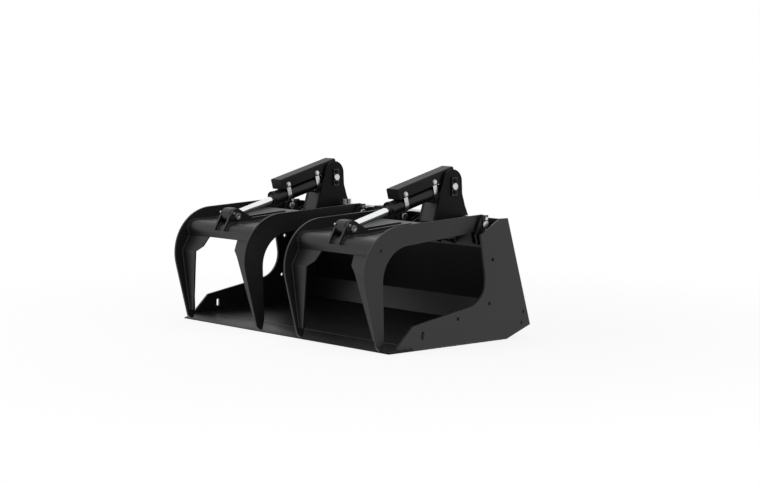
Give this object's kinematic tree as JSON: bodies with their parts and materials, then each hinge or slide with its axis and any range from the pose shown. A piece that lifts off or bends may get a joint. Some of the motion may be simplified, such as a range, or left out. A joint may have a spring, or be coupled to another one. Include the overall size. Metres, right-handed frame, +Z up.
{
  "type": "scrap grapple",
  "caption": "Wide open-front bucket with hydraulic tined clamps above it, which close onto the cutting edge; rear plate hooks onto a loader's quick coupler.",
  "frame": {"origin": "on the ground, in the middle of the whole object's width and depth", "axes": "+X to the right as seen from the front, +Y to the rear towards the loader, +Z up"},
  "size_m": [1.676, 1.122, 0.8516],
  "materials": {
    "bucket_paint": "satin black powder coat",
    "clamp_paint": "satin black powder coat",
    "ram_paint": "semi-gloss black paint",
    "guard_paint": "satin black powder coat",
    "edge_steel": "black paint, rubbed at the tip",
    "zinc_plate": "bright zinc plate",
    "rod_chrome": "polished chrome",
    "bare_steel": "ground steel",
    "block_steel": "black block with bright fittings"
  },
  "bodies": {
    "root": {"bucket_shell": "bucket_paint", "cutting_edge": "edge_steel", "side_plate_left": "bucket_paint", "side_plate_right": "bucket_paint", "top_channel": "bucket_paint", "floor_runners": "bucket_paint", "rear_ribs": "bucket_paint", "coupler_plate": "bucket_paint", "hinge_ears_left": "bucket_paint", "hinge_ears_right": "bucket_paint", "hinge_pins_left": "zinc_plate", "hinge_pins_right": "zinc_plate", "tower_plates_left": "bucket_paint", "tower_plates_right": "bucket_paint", "tower_fronts": "bucket_paint", "base_pin_left": "zinc_plate", "base_pin_right": "zinc_plate", "pin_keepers": "bucket_paint", "keeper_bolts": "zinc_plate", "port_manifold": "block_steel", "supply_lines": "zinc_plate"},
    "clamp_left": {"tine_left_outer": "clamp_paint", "tine_left_inner": "clamp_paint", "tine_stiffeners_left": "clamp_paint", "clamp_sheet_left": "clamp_paint", "cross_tube_left": "clamp_paint", "rod_ears_left": "clamp_paint", "hinge_bushes_left": "bare_steel", "rod_pin_ends_left": "zinc_plate"},
    "barrel_left": {"barrel_left": "ram_paint", "gland_left": "ram_paint", "barrel_eye_left": "ram_paint", "barrel_guard_left": "guard_paint", "guard_straps_left": "zinc_plate", "strap_bolts_left": "zinc_plate", "barrel_line_left": "zinc_plate"},
    "rod_left": {"piston_rod_left": "rod_chrome", "piston_left": "bare_steel", "rod_eye_left": "ram_paint"},
    "clamp_right": {"tine_right_outer": "clamp_paint", "tine_right_inner": "clamp_paint", "tine_stiffeners_right": "clamp_paint", "clamp_sheet_right": "clamp_paint", "cross_tube_right": "clamp_paint", "rod_ears_right": "clamp_paint", "hinge_bushes_right": "bare_steel", "rod_pin_ends_right": "zinc_plate"},
    "barrel_right": {"barrel_right": "ram_paint", "gland_right": "ram_paint", "barrel_eye_right": "ram_paint", "barrel_guard_right": "guard_paint", "guard_straps_right": "zinc_plate", "strap_bolts_right": "zinc_plate", "barrel_line_right": "zinc_plate"},
    "rod_right": {"piston_rod_right": "rod_chrome", "piston_right": "bare_steel", "rod_eye_right": "ram_paint"}
  },
  "joints": [
    {"name": "clamp_left_open", "type": "hinge", "parent": "root", "child": "clamp_left", "pos_m": [-0.469, 0.20404, 0.579], "axis": [-1, 0, 0], "range_deg": [0, 66]},
    {"name": "ram_left_turn", "type": "hinge", "parent": "root", "child": "barrel_left", "pos_m": [-0.469, 0.24504, 0.751], "axis": [-1, 0, 0], "range_deg": [0, 68]},
    {"name": "rod_left_slide", "type": "slide", "parent": "barrel_left", "child": "rod_left", "axis": [0, 0.9657, 0.2595], "range_m": [0, 0.192]},
    {"name": "clamp_right_open", "type": "hinge", "parent": "root", "child": "clamp_right", "pos_m": [0.469, 0.20404, 0.579], "axis": [-1, 0, 0], "range_deg": [0, 66]},
    {"name": "ram_right_turn", "type": "hinge", "parent": "root", "child": "barrel_right", "pos_m": [0.469, 0.24504, 0.751], "axis": [-1, 0, 0], "range_deg": [0, 68]},
    {"name": "rod_right_slide", "type": "slide", "parent": "barrel_right", "child": "rod_right", "axis": [0, 0.9657, 0.2595], "range_m": [0, 0.192]}
  ],
  "couplings": [
    {"joint": "ram_left_turn", "follows": "clamp_left_open", "ratio": 1.0273},
    {"joint": "rod_left_slide", "follows": "clamp_left_open", "m_per_rad": 0.1665},
    {"joint": "ram_right_turn", "follows": "clamp_right_open", "ratio": 1.0273},
    {"joint": "rod_right_slide", "follows": "clamp_right_open", "m_per_rad": 0.1665}
  ]
}
